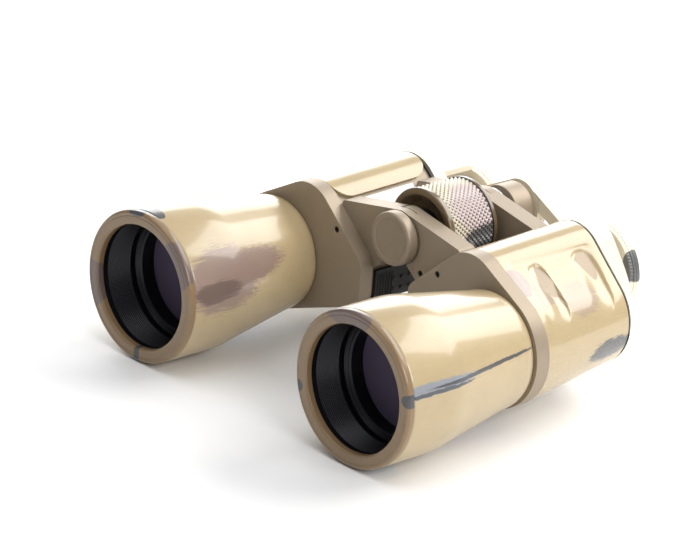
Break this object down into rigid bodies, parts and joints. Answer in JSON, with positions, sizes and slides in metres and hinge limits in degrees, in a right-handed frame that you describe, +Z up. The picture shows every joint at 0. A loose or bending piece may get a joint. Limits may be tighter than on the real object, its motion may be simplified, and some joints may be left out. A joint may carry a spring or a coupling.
{
  "type": "binoculars",
  "caption": "Camouflage Porro-prism binoculars with long tapered objective barrels, a folding centre hinge, a knurled focus wheel and a sliding eyepiece bridge.",
  "frame": {"origin": "on the surface it stands on, level with the bottom of the two objective rings, midway between the tubes and midway along the length", "axes": "+X towards the half that turns on the hinge (the user's left tube when looking through it, the right tube seen from the objectives), +Y along the tubes from the objectives to the eyepieces, +Z up"},
  "size_m": [0.1848, 0.162, 0.0728],
  "materials": {
    "camo_paint": "glossy tan camouflage",
    "ring_paint": "satin brown tan",
    "brown_casting": "satin brown",
    "wheel_paint": "satin, knurled",
    "black_anodised": "matt black",
    "coated_lens": "coated glass",
    "prism_glass": "clear glass",
    "plated_screw": "plated",
    "grip_rubber": "matt",
    "brass": "plain",
    "label_white": "satin film"
  },
  "bodies": {
    "left_half": {"left_objective_ring": "ring_paint", "left_objective_cell": "black_anodised", "left_objective_lens": "coated_lens", "left_retaining_ring": "black_anodised", "left_objective_barrel": "camo_paint", "left_baffle": "black_anodised", "left_front_cover": "brown_casting", "left_cover_screws": "plated_screw", "left_housing": "brown_casting", "left_armour": "camo_paint", "left_grip_pad": "grip_rubber", "left_gasket": "grip_rubber", "left_rear_cover": "camo_paint", "left_prism_shelf": "black_anodised", "left_front_prism": "prism_glass", "left_rear_prism": "prism_glass", "left_prism_clips": "brass", "left_label": "label_white", "hinge_tube": "plated_screw", "tripod_bush": "brass", "hinge_washers": "brass", "wheel_spacers": "black_anodised", "hinge_ring_nut": "plated_screw"},
    "right_half": {"right_objective_ring": "ring_paint", "right_objective_cell": "black_anodised", "right_objective_lens": "coated_lens", "right_retaining_ring": "black_anodised", "right_objective_barrel": "camo_paint", "right_baffle": "black_anodised", "right_front_cover": "brown_casting", "right_cover_screws": "plated_screw", "right_housing": "brown_casting", "right_armour": "camo_paint", "right_grip_pad": "grip_rubber", "right_gasket": "grip_rubber", "right_rear_cover": "camo_paint", "right_prism_shelf": "black_anodised", "right_front_prism": "prism_glass", "right_rear_prism": "prism_glass", "right_prism_clips": "brass"},
    "front_cap": {"front_cap": "brown_casting"},
    "focus_wheel": {"focus_wheel": "wheel_paint", "wheel_grip": "wheel_paint"},
    "bridge": {"focus_rod": "plated_screw", "drive_pin": "plated_screw", "rod_sleeve": "brown_casting", "bridge_cap": "brown_casting", "left_bridge_arm": "brown_casting", "left_eyepiece_barrel": "black_anodised", "left_eye_cell": "black_anodised", "left_eye_lenses": "prism_glass", "left_eyepiece_ring": "camo_paint", "left_eyecup": "camo_paint"},
    "right_ocular": {"right_bridge_arm": "brown_casting", "right_eyepiece_barrel": "black_anodised"},
    "right_eye_cell": {"right_eye_cell": "black_anodised", "right_eye_lenses": "prism_glass"},
    "dioptre_ring": {"dioptre_ring": "camo_paint", "right_eyecup": "camo_paint"}
  },
  "joints": [
    {"name": "interpupillary_hinge", "type": "hinge", "parent": "left_half", "child": "right_half", "pos_m": [0, 0, 0.0553], "axis": [0, 1, 0], "range_deg": [0, 42]},
    {"name": "focus_wheel_turn", "type": "hinge", "parent": "left_half", "child": "focus_wheel", "pos_m": [0, 0, 0.0553], "axis": [0, 1, 0], "range_deg": [-168, 280]},
    {"name": "focus_slide", "type": "slide", "parent": "left_half", "child": "bridge", "axis": [0, 1, 0], "range_m": [-0.003, 0.005]},
    {"name": "bridge_fold", "type": "hinge", "parent": "bridge", "child": "right_ocular", "pos_m": [0, 0, 0.0553], "axis": [0, 1, 0], "range_deg": [0, 42]},
    {"name": "dioptre_travel", "type": "slide", "parent": "right_ocular", "child": "right_eye_cell", "axis": [0, 1, 0], "range_m": [-0.0012, 0.0012]},
    {"name": "dioptre_turn", "type": "hinge", "parent": "right_eye_cell", "child": "dioptre_ring", "pos_m": [0.037, 0.076, 0.038], "axis": [0, 1, 0], "range_deg": [-150, 150]},
    {"name": "front_cap_unscrewing", "type": "slide", "parent": "left_half", "child": "front_cap", "axis": [0, -1, 0], "range_m": [0, 0.03]}
  ],
  "couplings": [
    {"joint": "focus_slide", "follows": "focus_wheel_turn", "m_per_rad": 0.001023},
    {"joint": "bridge_fold", "follows": "interpupillary_hinge", "ratio": 1},
    {"joint": "dioptre_travel", "follows": "dioptre_turn", "m_per_rad": 0.000458}
  ]
}
